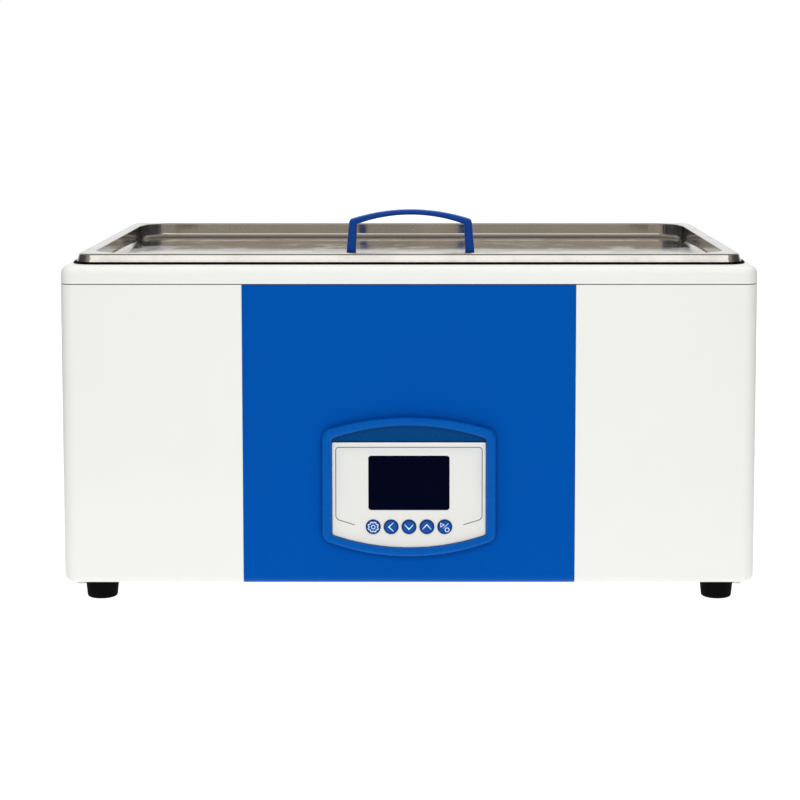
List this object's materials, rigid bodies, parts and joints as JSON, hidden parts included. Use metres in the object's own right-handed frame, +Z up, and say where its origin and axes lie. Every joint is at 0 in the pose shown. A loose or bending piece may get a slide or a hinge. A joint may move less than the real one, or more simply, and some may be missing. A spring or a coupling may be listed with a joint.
{
  "type": "laboratory water bath",
  "caption": "Rectangular bench water bath with a white cabinet, blue front with raised arched controller, stainless tank and lift-off lid with a bridge handle.",
  "frame": {"origin": "on the surface the feet stand on, midway across the whole object, drain spout included", "axes": "+X to the right seen from the front, +Y to the back, +Z up; the control side faces -Y"},
  "size_m": [0.56, 0.42, 0.3079],
  "materials": {
    "white_casing": "satin white moulded casing",
    "blue_panel": "satin blue coated sheet",
    "blue_plastic": "semi-gloss blue moulding",
    "fascia_white": "smooth off-white overlay",
    "display_dark": "polished dark window",
    "mirror_stainless": "mirror-polished stainless sheet",
    "satin_stainless": "satin stainless",
    "coated_steel": "light grey coated sheet",
    "screw_steel": "bright screws",
    "plated_brass": "turned brass, plated",
    "black_rubber": "matt black rubber",
    "black_plastic": "matt black moulding",
    "board_green": "solder-masked board",
    "mineral_wool": "insulating felt",
    "support_grey": "grey heat-resistant block",
    "fin_aluminium": "milled aluminium",
    "lead_sleeve": "silicone-sleeved lead",
    "fuse_glass": "glass tube fuse"
  },
  "bodies": {
    "cabinet": {"base_pan": "coated_steel", "bezel_screws": "screw_steel", "board_studs": "fin_aluminium", "cabinet_shell": "white_casing", "case_screws": "screw_steel", "control_bezel": "blue_plastic", "control_board": "board_green", "control_fascia": "fascia_white", "corner_posts": "fin_aluminium", "deck_seal": "black_rubber", "display_module": "black_plastic", "display_window": "display_dark", "drain_boss": "plated_brass", "drain_nut": "plated_brass", "drain_pipe": "plated_brass", "drain_valve_body": "plated_brass", "feet": "black_rubber", "foot_nuts": "screw_steel", "foot_screws": "screw_steel", "front_panel": "blue_panel", "heat_sink": "fin_aluminium", "heater_front": "satin_stainless", "heater_leads": "lead_sleeve", "heater_rear": "satin_stainless", "inlet_housing": "black_plastic", "inlet_pins": "plated_brass", "insulation_base": "mineral_wool", "insulation_pads": "mineral_wool", "key_switches": "black_plastic", "limit_thermostat": "black_plastic", "mains_leads": "lead_sleeve", "port_glands": "plated_brass", "power_board": "board_green", "power_board_screws": "screw_steel", "power_relay": "black_plastic", "power_studs": "fin_aluminium", "rear_panel": "coated_steel", "ribbon_cable": "lead_sleeve", "sensor_lead": "lead_sleeve", "switch_housing": "black_plastic", "tank": "satin_stainless", "tank_gasket": "black_rubber", "tank_supports": "support_grey", "temperature_probe": "satin_stainless", "terminal_block": "black_plastic", "top_deck": "white_casing"},
    "lid": {"lid_pan": "mirror_stainless", "lid_handle": "blue_plastic", "handle_screws": "screw_steel"},
    "shelf": {"tank_shelf": "satin_stainless"},
    "drain_tap": {"drain_lever": "blue_plastic", "drain_ball": "satin_stainless"},
    "rocker": {"power_rocker": "black_plastic"},
    "fuse_carrier": {"fuse_drawer": "black_plastic", "fuse": "fuse_glass"},
    "key_settings_cap": {"key_settings": "blue_plastic"},
    "key_left_cap": {"key_left": "blue_plastic"},
    "key_down_cap": {"key_down": "blue_plastic"},
    "key_up_cap": {"key_up": "blue_plastic"},
    "key_start_stop_cap": {"key_start_stop": "blue_plastic"}
  },
  "joints": [
    {"name": "lid_lift", "type": "slide", "parent": "cabinet", "child": "lid", "axis": [0, 0, 1], "range_m": [0, 0.15]},
    {"name": "shelf_lift", "type": "slide", "parent": "cabinet", "child": "shelf", "axis": [0, 0, 1], "range_m": [0, 0.1]},
    {"name": "key_settings_press", "type": "slide", "parent": "cabinet", "child": "key_settings_cap", "axis": [0, 1, 0], "range_m": [0, 0.00045], "stiffness_N_per_m": 500},
    {"name": "key_left_press", "type": "slide", "parent": "cabinet", "child": "key_left_cap", "axis": [0, 1, 0], "range_m": [0, 0.00045], "stiffness_N_per_m": 500},
    {"name": "key_down_press", "type": "slide", "parent": "cabinet", "child": "key_down_cap", "axis": [0, 1, 0], "range_m": [0, 0.00045], "stiffness_N_per_m": 500},
    {"name": "key_up_press", "type": "slide", "parent": "cabinet", "child": "key_up_cap", "axis": [0, 1, 0], "range_m": [0, 0.00045], "stiffness_N_per_m": 500},
    {"name": "key_start_stop_press", "type": "slide", "parent": "cabinet", "child": "key_start_stop_cap", "axis": [0, 1, 0], "range_m": [0, 0.00045], "stiffness_N_per_m": 500},
    {"name": "rocker_tip", "type": "hinge", "parent": "cabinet", "child": "rocker", "pos_m": [0.135, 0.163, 0.0601], "axis": [1, 0, 0], "range_deg": [0, 18]},
    {"name": "drain_turn", "type": "hinge", "parent": "cabinet", "child": "drain_tap", "pos_m": [-0.19, 0.18, 0.0601], "axis": [0, 0, 1], "range_deg": [0, 90]},
    {"name": "fuse_pull", "type": "slide", "parent": "cabinet", "child": "fuse_carrier", "axis": [0, 1, 0], "range_m": [0, 0.015]}
  ]
}
